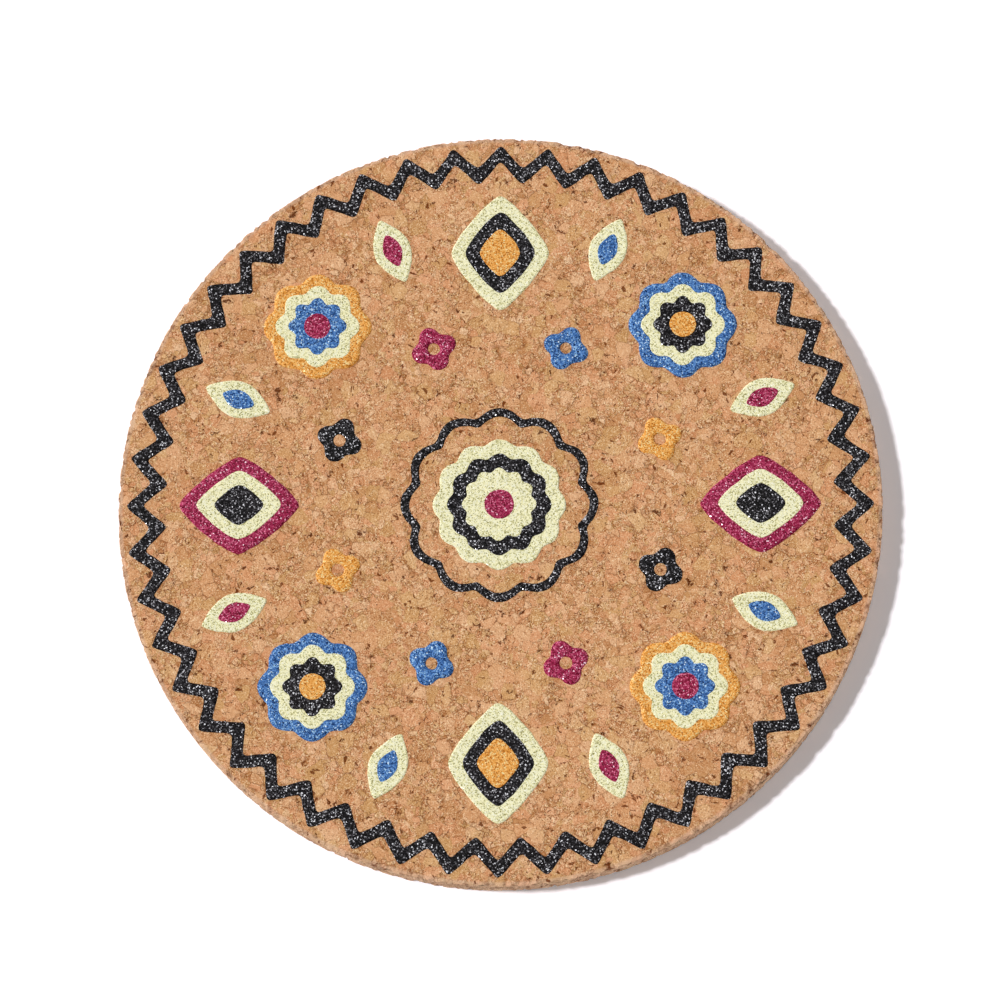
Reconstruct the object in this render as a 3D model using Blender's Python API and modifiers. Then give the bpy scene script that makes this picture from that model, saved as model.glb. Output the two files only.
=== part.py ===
"""Round cork coaster with a raised ink ornament on its top face.

A disc die-cut from bonded cork granules carries a print of thick cured ink. Every patch of ink is a
body of its own, with a flat foot, an upright edge and a shoulder where the wet ink drew back. A motif
is a stack of such patches, each a little smaller than the one it lies on.
Metres, +Z up. The origin is the middle of the underside.
"""

import math

import bmesh
import bpy
from mathutils import Matrix

# Cork disc
DISC_DIAMETER = 0.100
DISC_THICKNESS = 0.005
DISC_EDGE_ROUND = 0.0004
DISC_SIDES = 96
DISC_EDGE_STEPS = 2

# Ink
FIRST_COAT = 0.00020  # thickness of a patch that lies on cork
OVER_COAT = 0.00009  # thickness of a patch that lies on ink
SHOULDER = 0.00006  # how far the top of a patch is drawn in and rounded down
SEAT_GAP = 0.00002  # between a patch and what it lies on

# Clear cork between the edge, the border and the motifs
RIM_MARGIN = 0.0009
BORDER_CLEARANCE = 0.0014

# Zigzag border: one line of ink that runs to and fro all the way round
ZIGZAG_STROKES = 96
ZIGZAG_DEPTH = 0.0056
ZIGZAG_LINE = 0.0023  # width of the line, measured along a radius

# Eight large motifs, lozenges and daisies by turns
LARGE_MOTIFS = 8
DAISY_PETALS = 8
DAISY_RADIUS = 0.0072
DAISY_NOTCH = 0.0011
DAISY_BAND = 0.0016  # of each patch that the next one leaves in sight
DAISY_EYE_RADIUS = 0.0018
LOZENGE_LENGTH = 0.0160
LOZENGE_WIDTH = 0.0132
LOZENGE_BAND = 0.0023  # at the ends
LOZENGE_BULGE = 1.22  # 1 has straight sides, 2 is an ellipse

# Small motifs in the gaps: a leaf near the border and a clover further in
LEAF_LENGTH = 0.0096
LEAF_WIDTH = 0.0050
LEAF_BAND = 0.0012
CLOVER_PETALS = 4
CLOVER_RADIUS = 0.0031
CLOVER_NOTCH = 0.0011
CLOVER_HOLE_RADIUS = 0.0008

# Rosette in the middle, with a scalloped line round it
ROSETTE_PETALS = 12
ROSETTE_RADIUS = 0.0088
ROSETTE_NOTCH = 0.0009
ROSETTE_BAND = 0.0019
ROSETTE_EYE_RADIUS = 0.0020
WREATH_SCALLOPS = 12
WREATH_GAP = 0.0017
WREATH_NOTCH = 0.0013
WREATH_LINE = 0.0012

# Fineness of the outlines
PETAL_POINTS = 6  # even, so that one point falls in each notch
EYE_POINTS = 20
LOZENGE_POINTS = 20
LEAF_POINTS = 16

# Inks from the cork upwards, for motifs that take turns
DAISY_INKS = (
    ("blue", "cream", "black", "orange"),
    ("orange", "cream", "blue", "magenta"),
)
LOZENGE_INKS = (
    ("magenta", "cream", "black"),
    ("cream", "black", "orange"),
)
LEAF_INKS = (
    ("cream", "magenta"),
    ("cream", "blue"),
)
CLOVER_INKS = ("orange", "blue", "magenta", "black")
ROSETTE_INKS = ("cream", "black", "cream", "magenta")

# Base colour, in linear light, and roughness
CORK_FINISH = ((0.591, 0.309, 0.150), 0.85)
INK_FINISHES = {
    "cream": ((0.791, 0.737, 0.456), 0.45),
    "blue": ((0.045, 0.141, 0.456), 0.40),
    "magenta": ((0.328, 0.017, 0.091), 0.40),
    "orange": ((0.807, 0.328, 0.070), 0.45),
    "black": ((0.017, 0.015, 0.021), 0.40),
}

SHARP_ANGLE = math.radians(35)
WELD_DISTANCE = 1e-6


def clear_scene():
    for obj in list(bpy.data.objects):
        bpy.data.objects.remove(obj)


def new_collection(name):
    collection = bpy.data.collections.new(name)
    bpy.context.scene.collection.children.link(collection)
    return collection


def new_material(name, colour, roughness):
    material = bpy.data.materials.new(name)
    material.use_nodes = True
    shader = material.node_tree.nodes["Principled BSDF"]
    shader.inputs["Base Color"].default_value = (*colour, 1)
    shader.inputs["Roughness"].default_value = roughness
    shader.inputs["Metallic"].default_value = 0
    return material


# Outlines, as closed loops of points about the middle of the motif


def at_angle(radius, angle):
    return (radius * math.cos(angle), radius * math.sin(angle))


def scallop_outline(radius, petals, notch):
    """Round petals side by side, drawn in by notch where two of them meet."""
    count = petals * PETAL_POINTS
    angles = [2 * math.pi * k / count for k in range(count)]
    return [at_angle(radius - notch * (1 - abs(math.cos(petals * a / 2))), a) for a in angles]


def round_outline(radius):
    return [at_angle(radius, 2 * math.pi * k / EYE_POINTS) for k in range(EYE_POINTS)]


def lozenge_outline(length, width):
    """A superellipse, long way along X, between a straight-sided lozenge and an ellipse."""
    points = []
    for k in range(LOZENGE_POINTS):
        across, up = at_angle(1, 2 * math.pi * k / LOZENGE_POINTS)
        x = math.copysign(abs(across) ** (2 / LOZENGE_BULGE), across) * length / 2
        y = math.copysign(abs(up) ** (2 / LOZENGE_BULGE), up) * width / 2
        points.append((x, y))
    return points


def leaf_outline(length, width):
    """Two bowed sides that meet in a point at both ends, long way along X."""
    half = LEAF_POINTS // 2
    points = []
    for k in range(LEAF_POINTS):
        way = k % half / half
        side = 1 if k < half else -1
        points.append((side * (0.5 - way) * length, side * math.sin(math.pi * way) * width / 2))
    return points


def zigzag_outline(outer, inner):
    """A loop that swings between two radii, once each way for two strokes."""
    step = 2 * math.pi / ZIGZAG_STROKES
    return [at_angle(inner if k % 2 else outer, k * step) for k in range(ZIGZAG_STROKES)]


# Bodies


def make_disc(collection):
    """The cork, with the corners that a die rounds over as it presses through."""
    mesh = bpy.data.meshes.new("cork_disc")
    shape = bmesh.new()
    bmesh.ops.create_cone(
        shape,
        cap_ends=True,
        segments=DISC_SIDES,
        radius1=DISC_DIAMETER / 2,
        radius2=DISC_DIAMETER / 2,
        depth=DISC_THICKNESS,
        matrix=Matrix.Translation((0, 0, DISC_THICKNESS / 2)),
    )
    shape.to_mesh(mesh)
    shape.free()
    mesh.shade_smooth()
    mesh.set_sharp_from_angle(angle=SHARP_ANGLE)
    mesh.materials.append(new_material("cork", *CORK_FINISH))
    disc = bpy.data.objects.new("cork_disc", mesh)
    collection.objects.link(disc)
    edge = disc.modifiers.new("edge", "BEVEL")
    edge.width = DISC_EDGE_ROUND
    edge.segments = DISC_EDGE_STEPS
    edge.limit_method = "ANGLE"
    return disc


def filled_outline(loops, height, collection):
    """A mesh of the outline, with any inner loop left open, standing height tall on Z = 0."""
    curve = bpy.data.curves.new("outline", "CURVE")
    curve.dimensions = "2D"
    curve.fill_mode = "BOTH"
    curve.extrude = height / 2
    for loop in loops:
        spline = curve.splines.new("POLY")
        spline.points.add(len(loop) - 1)
        spline.use_cyclic_u = True
        for point, (x, y) in zip(spline.points, loop):
            point.co = (x, y, 0, 1)
    guide = bpy.data.objects.new("outline", curve)
    collection.objects.link(guide)
    graph = bpy.context.evaluated_depsgraph_get()
    mesh = bpy.data.meshes.new_from_object(guide.evaluated_get(graph))
    bpy.data.objects.remove(guide)
    bpy.data.curves.remove(curve)
    mesh.transform(Matrix.Translation((0, 0, height / 2)))
    return mesh


class Print:
    """The deposits of ink on the disc's top face, each on the cork or on the patch under it."""

    def __init__(self, disc, collection):
        self.disc = disc
        self.collection = collection
        self.inks = {
            name: new_material(f"ink_{name}", *finish) for name, finish in INK_FINISHES.items()
        }

    def foot(self, layer):
        """Height of the underside of the patch with this many patches below it."""
        on_cork = DISC_THICKNESS + SEAT_GAP
        if layer == 0:
            return on_cork
        return on_cork + FIRST_COAT + SEAT_GAP + (layer - 1) * (OVER_COAT + SEAT_GAP)

    def patch(self, name, loops, ink, layer=0, radius=0, angle=0):
        """One deposit, set out along a radius of the disc and turned to face along it."""
        coat = OVER_COAT if layer else FIRST_COAT
        shoulder = min(SHOULDER, coat / 2)
        mesh = filled_outline(loops, coat - shoulder, self.collection)
        shape = bmesh.new()
        shape.from_mesh(mesh)
        bmesh.ops.remove_doubles(shape, verts=shape.verts, dist=WELD_DISTANCE)
        bmesh.ops.recalc_face_normals(shape, faces=shape.faces)
        top = [face for face in shape.faces if face.normal.z > 0.5]
        bmesh.ops.inset_region(
            shape, faces=top, thickness=shoulder, depth=shoulder, use_even_offset=True
        )
        shape.to_mesh(mesh)
        shape.free()
        mesh.name = name
        mesh.shade_smooth()
        mesh.set_sharp_from_angle(angle=SHARP_ANGLE)
        mesh.materials.append(self.inks[ink])
        patch = bpy.data.objects.new(name, mesh)
        patch.location = (*at_angle(radius, angle), self.foot(layer))
        patch.rotation_euler.z = angle
        patch.parent = self.disc
        self.collection.objects.link(patch)

    def flower(self, name, inks, petals, reach, notch, band, eye_radius, radius=0, angle=0):
        """Petals in petals, with a round eye on top."""
        for layer, (part, ink) in enumerate(zip(("outer", "middle", "inner"), inks)):
            loop = scallop_outline(reach - layer * band, petals, notch)
            self.patch(f"{name}_{part}_{ink}", [loop], ink, layer, radius, angle)
        eye_ink = inks[-1]
        eye = round_outline(eye_radius)
        self.patch(f"{name}_eye_{eye_ink}", [eye], eye_ink, len(inks) - 1, radius, angle)

    def lozenge(self, name, inks, radius, angle):
        """Lozenge in lozenge of one proportion, long way along the radius."""
        for layer, (part, ink) in enumerate(zip(("outer", "middle", "inner"), inks)):
            length = LOZENGE_LENGTH - 2 * layer * LOZENGE_BAND
            loop = lozenge_outline(length, length * LOZENGE_WIDTH / LOZENGE_LENGTH)
            self.patch(f"{name}_{part}_{ink}", [loop], ink, layer, radius, angle)

    def leaf(self, name, inks, radius, angle):
        """A leaf with a smaller one of the same proportion on it."""
        for layer, (part, ink) in enumerate(zip(("outer", "inner"), inks)):
            width = LEAF_WIDTH - 2 * layer * LEAF_BAND
            loop = leaf_outline(width * LEAF_LENGTH / LEAF_WIDTH, width)
            self.patch(f"{name}_{part}_{ink}", [loop], ink, layer, radius, angle)

    def clover(self, name, ink, radius, angle):
        """Four petals round a hole that leaves the cork in sight."""
        petals = scallop_outline(CLOVER_RADIUS, CLOVER_PETALS, CLOVER_NOTCH)
        self.patch(name, [petals, round_outline(CLOVER_HOLE_RADIUS)], ink, 0, radius, angle)

    def wreath(self, outer):
        """A scalloped line round the rosette."""
        line = outer - WREATH_LINE
        loops = [scallop_outline(reach, WREATH_SCALLOPS, WREATH_NOTCH) for reach in (outer, line)]
        self.patch("wreath_black", loops, "black")

    def border(self, outer):
        """The zigzag line along the rim."""
        swing = ZIGZAG_DEPTH - ZIGZAG_LINE
        line = outer - ZIGZAG_LINE
        loops = [zigzag_outline(reach, reach - swing) for reach in (outer, line)]
        self.patch("zigzag_border_black", loops, "black")


clear_scene()
coaster = new_collection("cork_coaster")
ornament = Print(make_disc(coaster), coaster)

# Rings of motifs, from the rim inwards and from the middle outwards
border_outer = DISC_DIAMETER / 2 - RIM_MARGIN
motif_limit = border_outer - ZIGZAG_DEPTH - BORDER_CLEARANCE
large_ring = motif_limit - max(DAISY_RADIUS, LOZENGE_LENGTH / 2)
leaf_ring = motif_limit - LEAF_LENGTH / 2
wreath_outer = ROSETTE_RADIUS + WREATH_GAP + WREATH_LINE + WREATH_NOTCH
clover_ring = (wreath_outer + leaf_ring - LEAF_LENGTH / 2) / 2

ornament.border(border_outer)
pitch = 2 * math.pi / LARGE_MOTIFS
for place in range(LARGE_MOTIFS):
    way = place * pitch
    pair, second = divmod(place, 2)
    if second:
        inks = DAISY_INKS[pair % len(DAISY_INKS)]
        shape = (DAISY_PETALS, DAISY_RADIUS, DAISY_NOTCH, DAISY_BAND, DAISY_EYE_RADIUS)
        ornament.flower(f"daisy_{pair + 1}", inks, *shape, large_ring, way)
    else:
        inks = LOZENGE_INKS[pair % len(LOZENGE_INKS)]
        ornament.lozenge(f"lozenge_{pair + 1}", inks, large_ring, way)
    gap_way = way + pitch / 2
    ornament.leaf(f"leaf_{place + 1}", LEAF_INKS[place % len(LEAF_INKS)], leaf_ring, gap_way)
    ink = CLOVER_INKS[place % len(CLOVER_INKS)]
    ornament.clover(f"clover_{place + 1}_{ink}", ink, clover_ring, gap_way)
ornament.wreath(wreath_outer)
shape = (ROSETTE_PETALS, ROSETTE_RADIUS, ROSETTE_NOTCH, ROSETTE_BAND, ROSETTE_EYE_RADIUS)
ornament.flower("rosette", ROSETTE_INKS, *shape)
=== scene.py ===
import math

import bmesh
import bpy
import numpy as np
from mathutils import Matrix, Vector, noise


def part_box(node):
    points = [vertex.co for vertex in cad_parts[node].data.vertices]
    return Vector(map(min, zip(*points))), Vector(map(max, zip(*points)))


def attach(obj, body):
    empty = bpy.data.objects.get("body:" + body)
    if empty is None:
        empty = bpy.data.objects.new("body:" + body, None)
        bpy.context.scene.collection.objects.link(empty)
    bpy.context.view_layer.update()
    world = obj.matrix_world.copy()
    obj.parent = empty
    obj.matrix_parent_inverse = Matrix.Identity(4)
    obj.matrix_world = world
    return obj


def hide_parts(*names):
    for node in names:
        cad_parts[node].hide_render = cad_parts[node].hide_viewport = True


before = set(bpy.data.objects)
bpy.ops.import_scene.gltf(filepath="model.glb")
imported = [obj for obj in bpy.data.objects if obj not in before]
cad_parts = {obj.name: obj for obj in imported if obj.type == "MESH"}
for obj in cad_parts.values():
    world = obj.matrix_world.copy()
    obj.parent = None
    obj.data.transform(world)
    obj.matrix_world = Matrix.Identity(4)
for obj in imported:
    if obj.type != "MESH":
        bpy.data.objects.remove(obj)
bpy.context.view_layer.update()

# The cork disc
# Ground cork bark is pressed with a little glue into a block, the block is sliced into sheets, and
# the disc is stamped out of a sheet. Both faces are sanded flat, so every granule is cut through and
# shows its own tone, and the die tears small pits and nicks into the edge.
disc_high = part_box("cork_disc")[1]
disc_radius = disc_high.x
disc_thickness = disc_high.z
EDGE_ROUND = 0.00024
EDGE_STEPS = 4
WALL_STEPS = 11
FACE_CELLS = 250
UNDERSIDE_CELLS = 124
EDGE_REACH = 0.0012

# The flat map for textures, on a square of 1
MAP_SCALE = 8.0
MAP_TOP = (0.41, 0.59)
MAP_STRIP_COUNT = 4
MAP_STRIPS = (0.82, 0.36)
MAP_STRIP_STEP = 0.0434
MAP_STRIP_SCALE = 7.2
MAP_UNDERSIDE = (0.82, 0.18)
MAP_UNDERSIDE_SCALE = 3.4


def on_disc(u, v):
    """Where a point of a square from -1 to 1 lies on the unit disc: squares become rings."""
    if abs(u) >= abs(v):
        turn = math.pi / 4 * v / u if u else 0.0
        return u * math.cos(turn), u * math.sin(turn)
    turn = math.pi / 4 * u / v
    return v * math.sin(turn), v * math.cos(turn)


def round_grid(shape, cells, radius, height):
    """Adds a flat round grid to a bmesh, and returns its outer edges."""
    made = bmesh.ops.create_grid(shape, x_segments=cells, y_segments=cells, size=1.0)
    for vert in made["verts"]:
        x, y = on_disc(vert.co.x, vert.co.y)
        vert.co = (x * radius, y * radius, height)
    edges = dict.fromkeys(edge for vert in made["verts"] for edge in vert.link_edges)
    return [edge for edge in edges if edge.is_boundary]


def edge_profile():
    """Radius and height down the disc's edge, from the top face's border to the underside's."""
    flat = disc_radius - EDGE_ROUND
    wall = disc_thickness - 2 * EDGE_ROUND
    for step in range(1, EDGE_STEPS + 1):
        turn = math.pi / 2 * step / EDGE_STEPS
        yield flat + EDGE_ROUND * math.sin(turn), disc_thickness - EDGE_ROUND * (1 - math.cos(turn))
    for step in range(1, WALL_STEPS):
        yield disc_radius, disc_thickness - EDGE_ROUND - wall * step / WALL_STEPS
    for step in range(EDGE_STEPS):
        turn = math.pi / 2 * step / EDGE_STEPS
        yield flat + EDGE_ROUND * math.cos(turn), EDGE_ROUND * (1 - math.sin(turn))


def lay_out_flat(shape):
    """Maps the disc on a square: a large top face, its edge in strips, and a small underside."""
    flat_map = shape.loops.layers.uv.new("OFBake")
    strip_turn = math.tau / MAP_STRIP_COUNT
    nearly_flat = EDGE_ROUND / 100
    for face in shape.faces:
        heights = [vert.co.z for vert in face.verts]
        middle = face.calc_center_median()
        face_turn = math.atan2(middle.y, middle.x) % math.tau
        strip = int(face_turn / strip_turn)
        for loop in face.loops:
            x, y, z = loop.vert.co
            if min(heights) > disc_thickness - nearly_flat:
                place = (MAP_TOP[0] + x * MAP_SCALE, MAP_TOP[1] + y * MAP_SCALE)
            elif max(heights) < nearly_flat:
                place = (MAP_UNDERSIDE[0] - x * MAP_UNDERSIDE_SCALE,
                         MAP_UNDERSIDE[1] + y * MAP_UNDERSIDE_SCALE)
            else:
                past_middle = math.atan2(middle.x * y - middle.y * x, middle.x * x + middle.y * y)
                along = face_turn + past_middle - strip * strip_turn
                inset = disc_radius - math.hypot(x, y)
                past_corner = EDGE_ROUND - inset if z > disc_thickness / 2 else EDGE_ROUND + inset
                down = disc_thickness - z + past_corner
                place = (MAP_STRIPS[0] + strip * MAP_STRIP_STEP + down * MAP_STRIP_SCALE,
                         MAP_STRIPS[1] + along * disc_radius * MAP_SCALE)
            loop[flat_map].uv = place


def cork_disc_mesh():
    """The disc before its relief, with the attribute edge: 1 at the cut edge and 0 well inside it."""
    face_radius = disc_radius - EDGE_ROUND
    shape = bmesh.new()
    border = round_grid(shape, FACE_CELLS, face_radius, disc_thickness)
    radius_here = face_radius
    for radius, height in edge_profile():
        made = bmesh.ops.extrude_edge_only(shape, edges=border)["geom"]
        for vert in (item for item in made if isinstance(item, bmesh.types.BMVert)):
            vert.co = (vert.co.x * radius / radius_here, vert.co.y * radius / radius_here, height)
        border = [item for item in made if isinstance(item, bmesh.types.BMEdge) and item.is_boundary]
        radius_here = radius
    underside = round_grid(shape, UNDERSIDE_CELLS, face_radius, 0.0)
    bmesh.ops.bridge_loops(shape, edges=border + underside)
    bmesh.ops.recalc_face_normals(shape, faces=shape.faces)
    lay_out_flat(shape)
    for face in shape.faces:
        face.smooth = True
    mesh = bpy.data.meshes.new("cork_disc_dressed")
    shape.to_mesh(mesh)
    shape.free()
    edge = mesh.attributes.new("edge", "FLOAT", "POINT")
    places = np.empty(len(mesh.vertices) * 3)
    mesh.vertices.foreach_get("co", places)
    places = places.reshape(-1, 3)
    inside = disc_radius - np.hypot(places[:, 0], places[:, 1])
    edge.data.foreach_set("value", np.clip(1 - inside / EDGE_REACH, 0, 1))
    return mesh


class Wire:
    """A socket of a node tree. Arithmetic adds Math nodes, and node() adds any other node."""

    def __init__(self, tree, socket=None):
        self.tree = tree
        self.socket = socket

    def node(self, kind, settings=None, sockets=None, output=None):
        """A new node of that kind, as a wire from the output asked for, or else from its first one."""
        made = self.tree.nodes.new(kind)
        for key, value in (settings or {}).items():
            if key == "stops":
                self.set_stops(made.color_ramp, value)
            else:
                setattr(made, key, value)
        inputs = {socket.identifier: socket for socket in made.inputs}
        for key, value in (sockets or {}).items():
            if isinstance(value, Wire):
                self.tree.links.new(value.socket, inputs[key])
            else:
                inputs[key].default_value = value
        outputs = {socket.identifier: socket for socket in made.outputs}
        return Wire(self.tree, outputs.get(output) or next(iter(made.outputs), None))

    @staticmethod
    def set_stops(ramp, stops):
        while len(ramp.elements) < len(stops):
            ramp.elements.new(1.0)
        for element, (position, colour) in zip(ramp.elements, stops):
            element.position = position
            element.color = colour

    def math(self, operation, first, second):
        sockets = {"Value": first, "Value_001": second}
        return self.node("ShaderNodeMath", {"operation": operation}, sockets)

    def __add__(self, other):
        return self.math("ADD", self, other)

    def __radd__(self, other):
        return self.math("ADD", other, self)

    def __sub__(self, other):
        return self.math("SUBTRACT", self, other)

    def __rsub__(self, other):
        return self.math("SUBTRACT", other, self)

    def __mul__(self, other):
        return self.math("MULTIPLY", self, other)

    def __rmul__(self, other):
        return self.math("MULTIPLY", other, self)

    def __gt__(self, other):
        return self.math("GREATER_THAN", self, other)

    def __lt__(self, other):
        return self.math("LESS_THAN", self, other)

    def rise(self, low, high):
        """0 where the value is at low, 1 where it is at high, and smooth between them."""
        sockets = {"Value": self, "From Min": low, "From Max": high}
        return self.node("ShaderNodeMapRange", {"interpolation_type": "SMOOTHSTEP"}, sockets)

    def blend(self, first, second):
        """The first colour where the value is 0, and the second one where it is 1."""
        sockets = {"Factor_Float": self, "A_Color": first, "B_Color": second}
        return self.node("ShaderNodeMix", {"data_type": "RGBA"}, sockets, "Result_Color")

    def tinted(self, mask, tint):
        """This colour, with a tint, which is a share and a colour, where the mask is 1."""
        share, colour = tint
        return (mask * share).blend(self, colour)

    def channel(self, axis):
        return self.node("ShaderNodeSeparateXYZ", None, {"Vector": self}, axis)

    def grain(self, size, detail=2.0, roughness=0.5, output="Fac"):
        """Smooth noise over this place, with bumps of about that size."""
        sockets = {"Vector": self, "Scale": 1 / size, "Detail": detail, "Roughness": roughness}
        return self.node("ShaderNodeTexNoise", None, sockets, output)

    def patches(self, size, detail, roughness, low, high):
        """Patches of about that size over this place: 1 where the noise is past high, 0 below low."""
        return self.grain(size, detail, roughness).rise(low, high)

    def cells(self, size, output, feature="F1"):
        """Cells of about that size over this place."""
        sockets = {"Vector": self, "Scale": 1 / size}
        return self.node("ShaderNodeTexVoronoi", {"feature": feature}, sockets, output)

    def shifted(self, by, amount):
        """This place, moved by a colour or vector times an amount."""
        sockets = {"Vector": by, "Vector_001": (amount, amount, amount), "Vector_002": self}
        return self.node("ShaderNodeVectorMath", {"operation": "MULTIPLY_ADD"}, sockets)


# Large granules, crumbs and fines, how their tones and grit vary, and the faults between them
GRANULE_SIZE = 0.00165
CRUMB_SIZE = 0.00080
FINES_SIZE = 0.00036
OUTLINE_BEND = {"size": 0.0010, "detail": 4.0, "roughness": 0.60}
OUTLINE_BEND_REACH = 0.0008
CRUMB_FROM = 0.42
FINES_FROM = 1.45
GRANULE_TONES = 0.60
CRUMB_MORE_TONES = 0.12
FINES_MORE_TONES = 0.10
GRANULE_SEAM_WIDTH = 0.05
CRUMB_SEAM_WIDTH = 0.10
HUE_PATCH_SIZE = 0.0050
HUE_PATCH_SWING = 0.8
LEAST_GRIT = 0.66
GRANULE_MORE_GRIT = 0.66
FINES_MORE_GRIT = 0.12
OPEN_SEAMS = {"size": 0.0019, "detail": 4.0, "roughness": 0.75, "low": 0.44, "high": 0.58}
PITS = {"size": 0.0015, "detail": 5.0, "roughness": 0.66, "low": 0.648, "high": 0.675}
TEARS = {"size": 0.0015, "detail": 4.0, "roughness": 0.60, "low": 0.55, "high": 0.64}
NICKS = {"size": 0.0007, "detail": 3.0, "roughness": 0.60, "low": 0.46, "high": 0.66}


def bonded_granules(place):
    """The make-up of bonded cork at a place, as values that the disc's shape and its colour share."""
    bent = place.shifted(place.grain(output="Color", **OUTLINE_BEND), OUTLINE_BEND_REACH)
    large = bent.cells(GRANULE_SIZE, "Color")
    crumb = bent.cells(CRUMB_SIZE, "Color")
    fines = bent.cells(FINES_SIZE, "Color")
    kind = large.channel("X")
    is_crumb = kind > CRUMB_FROM
    is_fines = is_crumb * ((crumb.channel("X") + kind) > FINES_FROM)
    lot = is_fines.blend(is_crumb.blend(large, crumb), fines)
    spread = GRANULE_TONES + is_crumb * CRUMB_MORE_TONES + is_fines * FINES_MORE_TONES
    from_granule_edge = bent.cells(GRANULE_SIZE, "Distance", "DISTANCE_TO_EDGE")
    from_crumb_edge = bent.cells(CRUMB_SIZE, "Distance", "DISTANCE_TO_EDGE")
    granule_seam = 1 - from_granule_edge.rise(0.0, GRANULE_SEAM_WIDTH)
    crumb_seam = is_crumb * (1 - from_crumb_edge.rise(0.0, CRUMB_SEAM_WIDTH))
    return {
        "turn": lot.channel("X"),
        "tone": 0.5 + (lot.channel("Y") - 0.5) * spread,
        "hue": lot.channel("Z") + (place.grain(HUE_PATCH_SIZE) - 0.5) * HUE_PATCH_SWING,
        "gritty": LEAST_GRIT + lot.channel("X") * GRANULE_MORE_GRIT + is_fines * FINES_MORE_GRIT,
        "seam": place.math("MAXIMUM", granule_seam, crumb_seam) * place.patches(**OPEN_SEAMS),
        "pit": place.patches(**PITS),
        "tear": place.patches(**TEARS),
        "nick": place.patches(**NICKS),
    }


# Heights of the relief, in metres
GRANULE_RISE = 0.00006
SWELL_SIZE = 0.0013
SWELL_RISE = 0.00012
PIT_DEPTH = 0.00018
SWAY_SIZE = 0.0060
SWAY_REACH = 0.00006
TEAR_DEPTH = 0.00014
NICK_DEPTH = 0.00040
UNDERSIDE_SANDED = 0.00006
FACING_DOWN = -0.5


def cork_relief():
    """A geometry tree that raises and sinks the granules, and nicks the stamped edge."""
    tree = bpy.data.node_groups.new("cork_relief", "GeometryNodeTree")
    tree.interface.new_socket("Geometry", in_out="INPUT", socket_type="NodeSocketGeometry")
    result = tree.interface.new_socket("Geometry", in_out="OUTPUT", socket_type="NodeSocketGeometry")
    start = Wire(tree)
    place = start.node("GeometryNodeInputPosition")
    facing = start.node("GeometryNodeInputNormal")
    edge = start.node("GeometryNodeInputNamedAttribute", {"data_type": "FLOAT"}, {"Name": "edge"})
    cork = bonded_granules(place)
    height = (cork["tone"] - 0.5) * GRANULE_RISE + (place.grain(SWELL_SIZE) - 0.5) * SWELL_RISE
    height = height - cork["pit"] * PIT_DEPTH
    sway = (place.grain(SWAY_SIZE) - 0.5) * SWAY_REACH
    height = height + (sway - cork["tear"] * TEAR_DEPTH - cork["nick"] * NICK_DEPTH) * edge
    height = height - (facing.channel("Z") < FACING_DOWN) * UNDERSIDE_SANDED
    sockets = {"Vector": facing, "Scale": height}
    offset = start.node("ShaderNodeVectorMath", {"operation": "SCALE"}, sockets)
    sockets = {"Geometry": start.node("NodeGroupInput"), "Offset": offset}
    moved = start.node("GeometryNodeSetPosition", None, sockets)
    start.node("NodeGroupOutput", None, {result.identifier: moved})
    return tree


def srgb(red, green, blue):
    """A colour as it looks on a screen, from 0 to 255, as the linear colour that a node takes."""
    linear = []
    for value in (red, green, blue):
        share = value / 255
        linear.append(share / 12.92 if share <= 0.04045 else ((share + 0.055) / 1.055) ** 2.4)
    return (*linear, 1.0)


GRIT = {"size": 0.00031, "detail": 3.0, "roughness": 0.60}
GRIT_STRETCH = (0.45, 1.0, 1.0)
GRIT_SWING = 1.8
DUST = {"size": 0.00015, "detail": 1.0}
DUST_SWING = 3.4
FLECKS = {"size": 0.0008, "detail": 4.0, "roughness": 0.60, "low": 0.63, "high": 0.66}
CORK_TONES = [
    (0.00, srgb(167, 103, 51)),
    (0.25, srgb(200, 143, 95)),
    (0.50, srgb(218, 160, 113)),
    (0.75, srgb(226, 174, 130)),
    (1.00, srgb(244, 204, 164)),
]
# Each tint is its share and its colour, and its range is where its mask starts and is full
REDDISH = (0.54, srgb(221, 152, 109))
REDDISH_HUES = (0.62, 0.90)
YELLOWISH = (0.54, srgb(211, 166, 107))
YELLOWISH_HUES = (0.38, 0.10)
LIGHT_GRIT = (0.90, srgb(255, 222, 180))
LIGHT_GRIT_RANGE = (0.05, 0.85)
DARK_GRIT = (0.76, srgb(140, 72, 18))
DARK_GRIT_RANGE = (-0.05, -0.85)
# The cut wall's tint is partly the paler colour of cut cork and partly painted light, which brightens
# the whole wall all round.
CUT_WALL_AND_PAINTED_LIGHT = (0.42, srgb(232, 203, 176))
CUT_WALL_FACING = (0.75, 0.25)
CUT_WALL_MORE_TONES = 0.9
CUT_WALL_MORE_GRIT = 0.4
# A paler band on the top face next to the cut edge.
PALE_RIM_BAND = (0.48, srgb(226, 192, 166))
PALE_RIM_BAND_RANGE = (0.35, 0.70)
# Painted shade: the rounded corner of the top face is darkened all round the rim.
PAINTED_RIM_SHADE = (0.12, srgb(150, 112, 84))
PAINTED_RIM_SHADE_RANGE = (0.80, 1.00)
GLUE_SEAM = (0.62, srgb(130, 72, 26))
BARK_FLECK = (0.90, srgb(108, 48, 6))
PIT_FLOOR = (0.90, srgb(98, 42, 6))
TORN_EDGE = (0.75, srgb(118, 56, 20))
GRIT_BUMP = 0.4
TONE_BUMP = 0.3
SEAM_BUMP = 0.3
FLECK_BUMP = 0.5
BUMP_DEPTH = 0.00013
BUMP_STRENGTH = 0.8
CORK_ROUGHNESS = 0.94
PALE_SMOOTHER = 0.10
CORK_SPECULAR = 0.03


def new_material(name):
    """A material with an empty node tree, and a wire to start from."""
    made = bpy.data.materials.new(name)
    made.use_nodes = True
    made.node_tree.nodes.clear()
    return made, Wire(made.node_tree)


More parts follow.
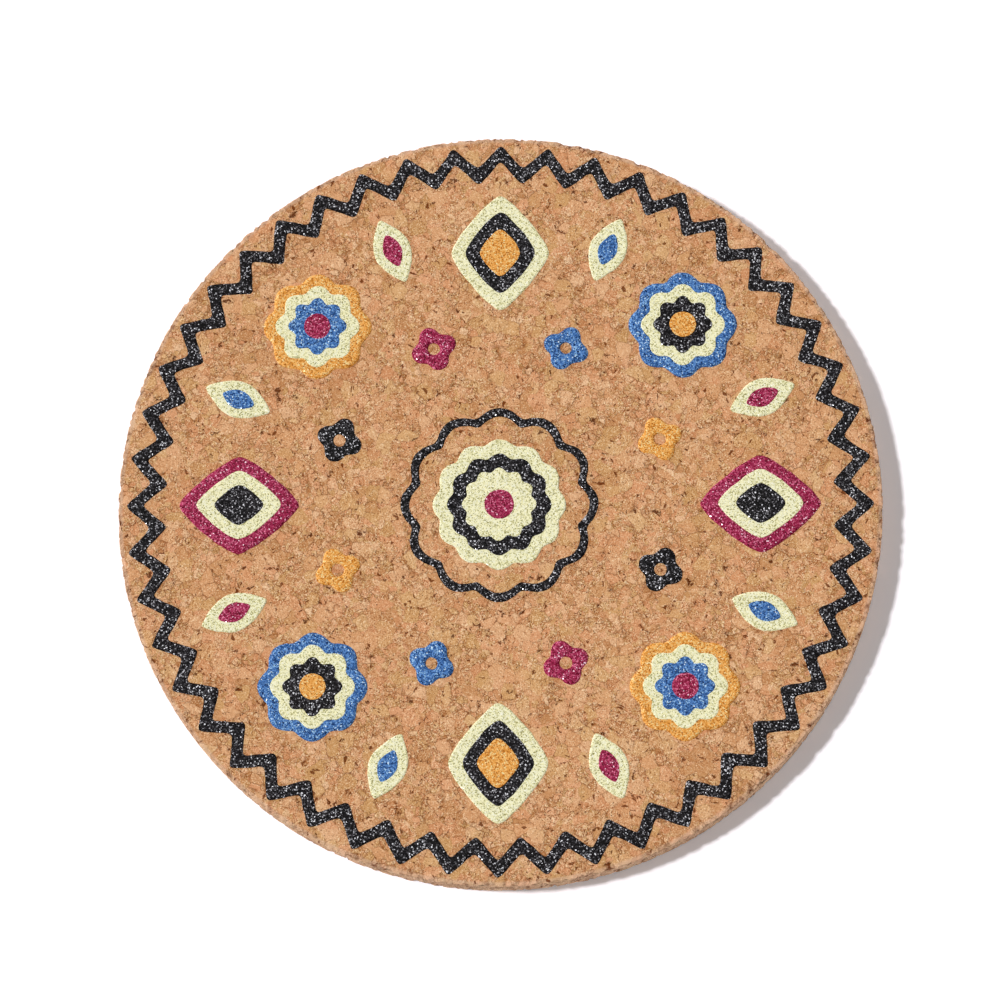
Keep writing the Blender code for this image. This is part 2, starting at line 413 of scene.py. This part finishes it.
def cork_material():
    """Granules of many tones, the grit drawn out in each one's own direction, seams, flecks and pits."""
    material, start = new_material("bonded_cork")
    place = start.node("ShaderNodeTexCoord", output="Object")
    cork = bonded_granules(place)
    spin = {"Vector": place, "Axis": (0.0, 0.0, 1.0), "Angle": cork["turn"] * math.tau}
    turned = start.node("ShaderNodeVectorRotate", {"rotation_type": "AXIS_ANGLE"}, spin)
    stretch = {"Vector": turned, "Vector_001": GRIT_STRETCH}
    drawn_out = start.node("ShaderNodeVectorMath", {"operation": "MULTIPLY"}, stretch)
    grit = drawn_out.grain(**GRIT) - 0.5
    dust = place.grain(**DUST) - 0.5
    fleck = drawn_out.patches(**FLECKS)
    edge = start.node("ShaderNodeAttribute", {"attribute_name": "edge"}, output="Fac")
    wall = start.node("ShaderNodeNewGeometry", output="Normal").channel("Z").rise(*CUT_WALL_FACING)
    tone = 0.5 + (cork["tone"] - 0.5) * (1 + wall * CUT_WALL_MORE_TONES)
    uneven = (grit * GRIT_SWING + dust * DUST_SWING) * cork["gritty"] * (1 + wall * CUT_WALL_MORE_GRIT)
    colour = start.node("ShaderNodeValToRGB", {"stops": CORK_TONES}, {"Fac": tone}, "Color")
    colour = colour.tinted(cork["hue"].rise(*REDDISH_HUES), REDDISH)
    colour = colour.tinted(cork["hue"].rise(*YELLOWISH_HUES), YELLOWISH)
    colour = colour.tinted(uneven.rise(*LIGHT_GRIT_RANGE), LIGHT_GRIT)
    colour = colour.tinted(uneven.rise(*DARK_GRIT_RANGE), DARK_GRIT)
    # Partly painted light: the wall is made paler all round, more than cut cork is.
    colour = colour.tinted(wall, CUT_WALL_AND_PAINTED_LIGHT)
    colour = colour.tinted(edge.rise(*PALE_RIM_BAND_RANGE) * (1 - wall), PALE_RIM_BAND)
    # Painted shade on the rounded corner of the top face.
    colour = colour.tinted(edge.rise(*PAINTED_RIM_SHADE_RANGE) * (1 - wall), PAINTED_RIM_SHADE)
    colour = colour.tinted(cork["seam"], GLUE_SEAM)
    colour = colour.tinted(fleck, BARK_FLECK)
    colour = colour.tinted(cork["pit"], PIT_FLOOR)
    colour = colour.tinted(cork["tear"] * edge, TORN_EDGE)
    relief = uneven * GRIT_BUMP + cork["tone"] * TONE_BUMP - cork["seam"] * SEAM_BUMP
    relief = relief - fleck * FLECK_BUMP - cork["pit"]
    sockets = {"Strength": BUMP_STRENGTH, "Distance": BUMP_DEPTH, "Height": relief}
    bump = start.node("ShaderNodeBump", None, sockets)
    sockets = {
        "Base Color": colour,
        "Roughness": CORK_ROUGHNESS - cork["tone"] * PALE_SMOOTHER,
        "Specular IOR Level": CORK_SPECULAR,
        "Normal": bump,
    }
    shader = start.node("ShaderNodeBsdfPrincipled", None, sockets)
    start.node("ShaderNodeOutputMaterial", None, {"Surface": shader})
    return material


cork_disc = bpy.data.objects.new("cork_disc_granules", cork_disc_mesh())
bpy.context.scene.collection.objects.link(cork_disc)
cork_disc.modifiers.new("relief", "NODES").node_group = cork_relief()
cork_disc.data.materials.append(cork_material())
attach(cork_disc, "root")
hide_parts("cork_disc")

# The zigzag border
# A stencil lays thick ink on the cork as one closed zigzag near the rim. The wet ink draws its corners
# round and its edges into a soft shoulder, and fine glitter in it settles in all directions.
FIRST_COAT = {
    "black": 0.00020,
    "cream": 0.00013,
    "magenta": 0.00030,
    "orange": 0.00026,
    "blue": 0.00030,
}
NEXT_COAT = 0.00006
INK_SPACING = 0.00022
INK_ROOT = 0.00012
INK_ROWS = 5
INK_SHOULDER = 1.7
INK_FLOW = 8
WANDER = 0.00009
LONG_WANDER_SIZE = 0.0022
SHORT_WANDER_SIZE = 0.0007
SHORT_WANDER_SLICE = 0.01
SAME_PLACE = 1e-9


def evened(loop, spacing):
    """The closed loop with its points set evenly, about that far apart, in a number that 4 divides."""
    closed = np.vstack((loop, loop[:1]))
    along = np.concatenate(([0.0], np.cumsum(np.linalg.norm(np.diff(closed, axis=0), axis=1))))
    count = 4 * round(along[-1] / spacing / 4)
    places = np.linspace(0.0, along[-1], count, endpoint=False)
    return np.column_stack([np.interp(places, along, closed[:, axis]) for axis in (0, 1)])


def drawn_round(loop, passes):
    """The loop with its corners drawn round, as wet ink does."""
    for _ in range(passes):
        loop = (np.roll(loop, 1, 0) + 2 * loop + np.roll(loop, -1, 0)) / 4
    return loop


def outward(loop):
    """The direction away from a loop that runs anticlockwise, at each of its points."""
    along = np.roll(loop, -1, 0) - np.roll(loop, 1, 0)
    across = np.column_stack((along[:, 1], -along[:, 0]))
    return across / np.linalg.norm(across, axis=1, keepdims=True)


def ragged(loop):
    """The loop with the small wander that rough cork gives a printed edge."""
    wander = []
    for x, y in loop:
        long_wander = noise.noise(Vector((x, y, 0.0)) / LONG_WANDER_SIZE)
        short_wander = noise.noise(Vector((x, y, SHORT_WANDER_SLICE)) / SHORT_WANDER_SIZE)
        wander.append(long_wander + short_wander / 2)
    return loop + outward(loop) * np.array(wander)[:, None] * WANDER


def shoulder_rows(loop, inward, low, high):
    """Rows of points from the foot of an ink edge up over its shoulder, inward being -1 or 1."""
    rows = [np.column_stack((loop, np.full(len(loop), height))) for height in (low - INK_ROOT, low)]
    step = inward * INK_SHOULDER * (high - low) / INK_ROWS
    for row in range(1, INK_ROWS + 1):
        loop = drawn_round(loop + outward(loop) * step, 1)
        height = low + (high - low) * math.sin(math.pi / 2 * row / INK_ROWS)
        rows.append(np.column_stack((loop, np.full(len(loop), height))))
    return rows


def ink_mesh(name, outer, inner, low, high):
    """A closed coat of ink, inside the outer loop and outside the inner one, if there is one."""
    outer = ragged(drawn_round(evened(outer, INK_SPACING), INK_FLOW))
    count = len(outer)
    rows = shoulder_rows(outer, -1, low, high)
    if inner is not None:
        inner = evened(inner, INK_SPACING)
        steps = np.linspace(0, len(inner), count, endpoint=False)
        ends = np.vstack((inner, inner[:1]))
        inner = np.column_stack([np.interp(steps, range(len(ends)), ends[:, axis]) for axis in (0, 1)])
        inner = ragged(drawn_round(inner, INK_FLOW))
        rows += shoulder_rows(inner, 1, low, high)[::-1]
        rows.append(rows[0])
    faces = []
    for row in range(len(rows) - 1):
        for point in range(count):
            after = (point + 1) % count
            faces.append((row * count + point, row * count + after,
                          (row + 1) * count + after, (row + 1) * count + point))
    places = np.vstack(rows)
    if inner is None:
        faces.append(tuple(range(len(places) - count, len(places))))
        faces.append(tuple(reversed(range(count))))
    mesh = bpy.data.meshes.new(name)
    mesh.from_pydata(places.tolist(), [], faces)
    shape = bmesh.new()
    shape.from_mesh(mesh)
    bmesh.ops.remove_doubles(shape, verts=shape.verts, dist=SAME_PLACE)
    for face in shape.faces:
        face.smooth = len(face.verts) == 4
    bmesh.ops.recalc_face_normals(shape, faces=shape.faces)
    shape.to_mesh(mesh)
    shape.free()
    return mesh


def lay_ink(node, outer, inner=None, below=None):
    """A coat of ink in place of a node, on the cork or on the coat below it, which is given by its
    height. Returns the height of the new coat."""
    ink = node.rsplit("_", 1)[1]
    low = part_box(node)[0].z if below is None else below
    high = low + (FIRST_COAT[ink] if below is None else NEXT_COAT)
    deposit = bpy.data.objects.new(node + "_ink", ink_mesh(node + "_ink", outer, inner, low, high))
    bpy.context.scene.collection.objects.link(deposit)
    deposit.data.materials.append(inks[ink])
    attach(deposit, "root")
    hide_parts(node)
    "ink_" + ink
    return high


FLAKE_SIZE = 0.00014
FLAKE_LEAN = 0.6
INK_ROUGHNESS = 0.5
INK_SPECULAR = 0.05
GLINT_SMOOTHER = 0.2
GLINT_METAL = 0.6
BLACK_INK = {
    "flakes": [
        (0.00, srgb(0, 0, 0)),
        (0.45, srgb(6, 5, 6)),
        (0.70, srgb(36, 33, 35)),
        (0.90, srgb(86, 84, 88)),
        (1.00, srgb(218, 216, 222)),
    ],
    "painted_glint": srgb(238, 238, 244),
    "glint_share": 0.022,
}


def glitter_ink(name, flakes, painted_glint, glint_share):
    """An ink full of glitter: the colours of its flakes by share, and that of the few that flash, a
    painted glint.
    """
    material, start = new_material(name)
    place = start.node("ShaderNodeTexCoord", output="Object")
    flake = place.cells(FLAKE_SIZE, "Color")
    colour = start.node("ShaderNodeValToRGB", {"stops": flakes}, {"Fac": flake.channel("X")}, "Color")
    flashes = flake.channel("Y") > 1 - glint_share
    upright = start.node("ShaderNodeNewGeometry", output="Normal")
    sockets = {"Vector": flake, "Vector_001": (0.5, 0.5, 0.5)}
    lean = start.node("ShaderNodeVectorMath", {"operation": "SUBTRACT"}, sockets)
    sockets = {"Vector": upright.shifted(lean, FLAKE_LEAN)}
    tilted = start.node("ShaderNodeVectorMath", {"operation": "NORMALIZE"}, sockets)
    sockets = {
        # Painted glint: the flakes that flash get a pale colour, so they shine under any lamp, besides
        # their metal.
        "Base Color": flashes.blend(colour, painted_glint),
        "Roughness": INK_ROUGHNESS - flashes * GLINT_SMOOTHER,
        "Metallic": flashes * GLINT_METAL,
        "Specular IOR Level": INK_SPECULAR,
        "Normal": tilted,
    }
    shader = start.node("ShaderNodeBsdfPrincipled", None, sockets)
    start.node("ShaderNodeOutputMaterial", None, {"Surface": shader})
    return material


inks = {"black": glitter_ink("ink_black", **BLACK_INK)}
ZIGZAG_STROKES = 96
ZIGZAG_SWING = 0.0033
ZIGZAG_LINE = 0.0023
zigzag_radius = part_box("zigzag_border_black")[1].x
corner_angles = np.arange(ZIGZAG_STROKES) * 2 * math.pi / ZIGZAG_STROKES
corner_radii = zigzag_radius - ZIGZAG_SWING * (np.arange(ZIGZAG_STROKES) % 2)
corner_ways = np.column_stack((np.cos(corner_angles), np.sin(corner_angles)))
lay_ink(
    "zigzag_border_black",
    corner_ways * corner_radii[:, None],
    corner_ways * (corner_radii - ZIGZAG_LINE)[:, None],
)

# The lozenges
# Four pointed ovals of glitter ink stand on the axes, each printed in three goes: the whole shape, then
# a smaller one on it, then the smallest, each in another ink and with an edge of its own.
CREAM_INK = {
    "flakes": [
        (0.00, srgb(132, 126, 70)),
        (0.22, srgb(206, 201, 150)),
        (0.50, srgb(250, 244, 197)),
        (1.00, srgb(255, 254, 226)),
    ],
    "painted_glint": srgb(252, 250, 232),
    "glint_share": 0.01,
}
MAGENTA_INK = {
    "flakes": [
        (0.00, srgb(60, 0, 8)),
        (0.30, srgb(130, 18, 52)),
        (0.60, srgb(160, 44, 82)),
        (0.85, srgb(195, 78, 112)),
        (1.00, srgb(255, 150, 184)),
    ],
    "painted_glint": srgb(255, 210, 226),
    "glint_share": 0.018,
}
ORANGE_INK = {
    "flakes": [
        (0.00, srgb(152, 78, 0)),
        (0.30, srgb(212, 141, 56)),
        (0.60, srgb(241, 171, 91)),
        (0.85, srgb(255, 202, 122)),
        (1.00, srgb(255, 236, 176)),
    ],
    "painted_glint": srgb(253, 228, 176),
    "glint_share": 0.01,
}
inks["cream"] = glitter_ink("ink_cream", **CREAM_INK)
inks["magenta"] = glitter_ink("ink_magenta", **MAGENTA_INK)
inks["orange"] = glitter_ink("ink_orange", **ORANGE_INK)
LOZENGE_COUNT = 4
LOZENGE_BULGE = 1.22
LOZENGE_POINTS = 240
LOZENGE_LAYERS = ("outer", "middle", "inner")
LOZENGE_INKS = (("magenta", "cream", "black"), ("cream", "black", "orange"))


def placed(loop, node, angle):
    """The loop turned by an angle and set in the middle of a node."""
    low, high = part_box(node)
    turn = np.array(((math.cos(angle), math.sin(angle)), (-math.sin(angle), math.cos(angle))))
    return loop @ turn + np.array(((low.x + high.x) / 2, (low.y + high.y) / 2))


def lozenge(length, width):
    """A pointed oval whose sides bulge a little."""
    angles = np.arange(LOZENGE_POINTS) * 2 * math.pi / LOZENGE_POINTS
    ways = (np.cos(angles), np.sin(angles))
    along, across = [np.sign(way) * np.abs(way) ** (2 / LOZENGE_BULGE) for way in ways]
    return np.column_stack((along * length / 2, across * width / 2))


for number in range(LOZENGE_COUNT):
    angle = number * math.tau / LOZENGE_COUNT
    below = None
    for layer, ink in zip(LOZENGE_LAYERS, LOZENGE_INKS[number % 2]):
        node = f"lozenge_{number + 1}_{layer}_{ink}"
        low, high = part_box(node)
        width, length = sorted((high.x - low.x, high.y - low.y))
        below = lay_ink(node, placed(lozenge(length, width), node, angle), below=below)

# The daisies
# Four scalloped flowers stand between the lozenges. Each is glitter ink laid in four goes, three
# shrinking flowers on each other and a round eye on top.
BLUE_INK = {
    "flakes": [
        (0.00, srgb(0, 18, 58)),
        (0.30, srgb(42, 84, 141)),
        (0.60, srgb(76, 120, 182)),
        (0.85, srgb(106, 154, 218)),
        (1.00, srgb(180, 222, 255)),
    ],
    "painted_glint": srgb(222, 240, 254),
    "glint_share": 0.02,
}
inks["blue"] = glitter_ink("ink_blue", **BLUE_INK)
DAISY_COUNT = 4
DAISY_PETALS = 8
DAISY_NOTCH = 0.0011
DAISY_LAYERS = ("outer", "middle", "inner", "eye")
DAISY_INKS = (("blue", "cream", "black", "orange"), ("orange", "cream", "blue", "magenta"))
PETAL_POINTS = 60


def scalloped(radius, petals, notch):
    """A round loop of petals with a notch of that depth between them, or a plain circle with none."""
    count = PETAL_POINTS * petals
    angles = np.arange(count) * 2 * math.pi / count
    radii = radius - notch * (1 - np.abs(np.cos(petals * angles / 2)))
    return np.column_stack((radii * np.cos(angles), radii * np.sin(angles)))


for number in range(DAISY_COUNT):
    angle = math.pi / DAISY_COUNT + number * math.tau / DAISY_COUNT
    below = None
    for layer, ink in zip(DAISY_LAYERS, DAISY_INKS[number % 2]):
        node = f"daisy_{number + 1}_{layer}_{ink}"
        low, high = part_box(node)
        notch = 0.0 if layer == "eye" else DAISY_NOTCH
        flower = scalloped((high.x - low.x) / 2, DAISY_PETALS, notch)
        below = lay_ink(node, placed(flower, node, angle), below=below)

# The leaves
# Eight pointed leaves of glitter ink fill the gaps of the ring near the border, each a cream leaf with a
# smaller coloured one printed on it.
LEAF_COUNT = 8
LEAF_LENGTH = 0.0096
LEAF_WIDTH = 0.0050
LEAF_BAND = 0.0012
LEAF_POINTS = 120
LEAF_INKS = (("cream", "magenta"), ("cream", "blue"))


def leaf(length, width):
    """A leaf with a point at each end, one side after the other."""
    share = np.arange(LEAF_POINTS) / LEAF_POINTS
    there = np.column_stack(((0.5 - share) * length, np.sin(math.pi * share) * width / 2))
    return np.vstack((there, -there))


for number in range(LEAF_COUNT):
    angle = math.pi / LEAF_COUNT + number * math.tau / LEAF_COUNT
    below = None
    for layer, name in enumerate(("outer", "inner")):
        node = f"leaf_{number + 1}_{name}_{LEAF_INKS[number % 2][layer]}"
        width = LEAF_WIDTH - 2 * layer * LEAF_BAND
        outline = leaf(LEAF_LENGTH * width / LEAF_WIDTH, width)
        below = lay_ink(node, placed(outline, node, angle), below=below)

# The clovers
# Eight small four-petalled flowers stand inside the ring, each one dab of glitter ink with a round hole
# in the middle that shows the cork.
CLOVER_COUNT = 8
CLOVER_RADIUS = 0.0031
CLOVER_PETALS = 4
CLOVER_NOTCH = 0.0011
CLOVER_HOLE = 0.0008
CLOVER_INKS = ("orange", "blue", "magenta", "black")

for number in range(CLOVER_COUNT):
    node = f"clover_{number + 1}_{CLOVER_INKS[number % len(CLOVER_INKS)]}"
    angle = math.pi / CLOVER_COUNT + number * math.tau / CLOVER_COUNT
    outline = scalloped(CLOVER_RADIUS, CLOVER_PETALS, CLOVER_NOTCH)
    hole = scalloped(CLOVER_HOLE, CLOVER_PETALS, 0.0)
    lay_ink(node, placed(outline, node, angle), placed(hole, node, angle))

# The rosette and its wreath
# A flower of twelve scallops in three coats of glitter ink, with an eye, marks the middle, where a cup
# stands, and a scalloped line of black ink is printed round it.
ROSETTE_PETALS = 12
ROSETTE_NOTCH = 0.0009
WREATH_NOTCH = 0.0013
WREATH_LINE = 0.0012

below = None
for layer in ("outer_cream", "middle_black", "inner_cream", "eye_magenta"):
    node = "rosette_" + layer
    notch = 0.0 if layer.startswith("eye") else ROSETTE_NOTCH
    below = lay_ink(node, scalloped(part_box(node)[1].x, ROSETTE_PETALS, notch), below=below)
wreath_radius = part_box("wreath_black")[1].x
lay_ink(
    "wreath_black",
    scalloped(wreath_radius, ROSETTE_PETALS, WREATH_NOTCH),
    scalloped(wreath_radius - WREATH_LINE, ROSETTE_PETALS, WREATH_NOTCH),
)

# The studio
# The coaster lies on a plain white sheet under a lamp from the left and a soft white light all round,
# and the camera looks down on it, a little from the front.
FLOOR_SIZE = 3.0
FLOOR_COLOUR = (0.97, 0.94, 0.99, 1.0)
FLOOR_ROUGHNESS = 0.9
FLOOR_LIFT = 0.155
BLACK = (0.0, 0.0, 0.0, 1.0)
WHITE = (1.0, 1.0, 1.0, 1.0)
SKY_OVERHEAD = 0.05
SKY_ROUND = 1.06
SKY_SIDE = 0.62
SKY_HORIZON = 1.90
LAMP_SLANT = 0.65
LAMP_TURN = math.radians(3.0)
LAMP_WIDTH = math.radians(6.2)
LAMP_STRENGTH = 2.735
CAMERA_TILT = math.radians(12.42)
CAMERA_TURN = math.radians(9.0)
CAMERA_DISTANCE = 0.5
FRAME_WIDTH = 0.130705
FRAME_DROP = 0.000604
FRAME_SHIFT = 0.000095


def seen_directly(start):
    """1 for a ray that shows the background itself, straight or in a mirror or glass."""
    rays = [start.node("ShaderNodeLightPath", output=f"Is {kind} Ray")
            for kind in ("Camera", "Glossy", "Transmission")]
    return start.math("MAXIMUM", rays[0], start.math("MAXIMUM", rays[1], rays[2]))


floor_shape = bmesh.new()
bmesh.ops.create_grid(floor_shape, x_segments=1, y_segments=1, size=FLOOR_SIZE / 2)
floor_mesh = bpy.data.meshes.new("white_sheet")
floor_shape.to_mesh(floor_mesh)
floor_shape.free()
floor = bpy.data.objects.new("white_sheet", floor_mesh)
bpy.context.scene.collection.objects.link(floor)
floor_material, start = new_material("white_sheet")
floor_shader = start.node("ShaderNodeBsdfPrincipled", None, {
    "Base Color": FLOOR_COLOUR,
    "Roughness": FLOOR_ROUGHNESS,
    "Specular IOR Level": 0.0,
    "Emission Color": seen_directly(start).blend(BLACK, WHITE),
    "Emission Strength": FLOOR_LIFT,
})
start.node("ShaderNodeOutputMaterial", None, {"Surface": floor_shader})
floor_mesh.materials.append(floor_material)

world = bpy.data.worlds.new("soft_white")
world.use_nodes = True
world.node_tree.nodes.clear()
start = Wire(world.node_tree)
way = start.node("ShaderNodeTexCoord", output="Generated")
below_zenith = 1 - start.math("MAXIMUM", way.channel("Z"), 0.0)
all_round = below_zenith * below_zenith
horizon = all_round * all_round * all_round * all_round
soft = SKY_OVERHEAD + all_round * (1 + way.channel("Y") * SKY_SIDE) * SKY_ROUND + horizon * SKY_HORIZON
strength = soft + seen_directly(start) * (1 - soft)
sky = start.node("ShaderNodeBackground", None, {"Color": WHITE, "Strength": strength})
start.node("ShaderNodeOutputWorld", None, {"Surface": sky})
bpy.context.scene.world = world

lamp_data = bpy.data.lights.new("lamp", "SUN")
lamp_data.energy = LAMP_STRENGTH
lamp_data.angle = LAMP_WIDTH
lamp = bpy.data.objects.new("lamp", lamp_data)
bpy.context.scene.collection.objects.link(lamp)
toward_lamp = Vector((-math.cos(LAMP_TURN) * LAMP_SLANT, math.sin(LAMP_TURN) * LAMP_SLANT, 1.0))
lamp.rotation_mode = "QUATERNION"
lamp.rotation_quaternion = toward_lamp.to_track_quat("Z", "Y")

camera_data = bpy.data.cameras.new("camera")
camera_data.lens = camera_data.sensor_width * CAMERA_DISTANCE / FRAME_WIDTH
camera = bpy.data.objects.new("camera", camera_data)
bpy.context.scene.collection.objects.link(camera)
aside, front = math.sin(CAMERA_TURN), -math.cos(CAMERA_TURN)
back = Vector((aside * math.sin(CAMERA_TILT), front * math.sin(CAMERA_TILT), math.cos(CAMERA_TILT)))
aim = Vector((FRAME_SHIFT, FRAME_DROP, disc_thickness))
camera.location = aim + back * CAMERA_DISTANCE
camera.rotation_mode = "QUATERNION"
camera.rotation_quaternion = Vector((0.0, 0.0, 1.0)).rotation_difference(back)
bpy.context.scene.camera = camera
bpy.context.scene.view_settings.view_transform = "Standard"
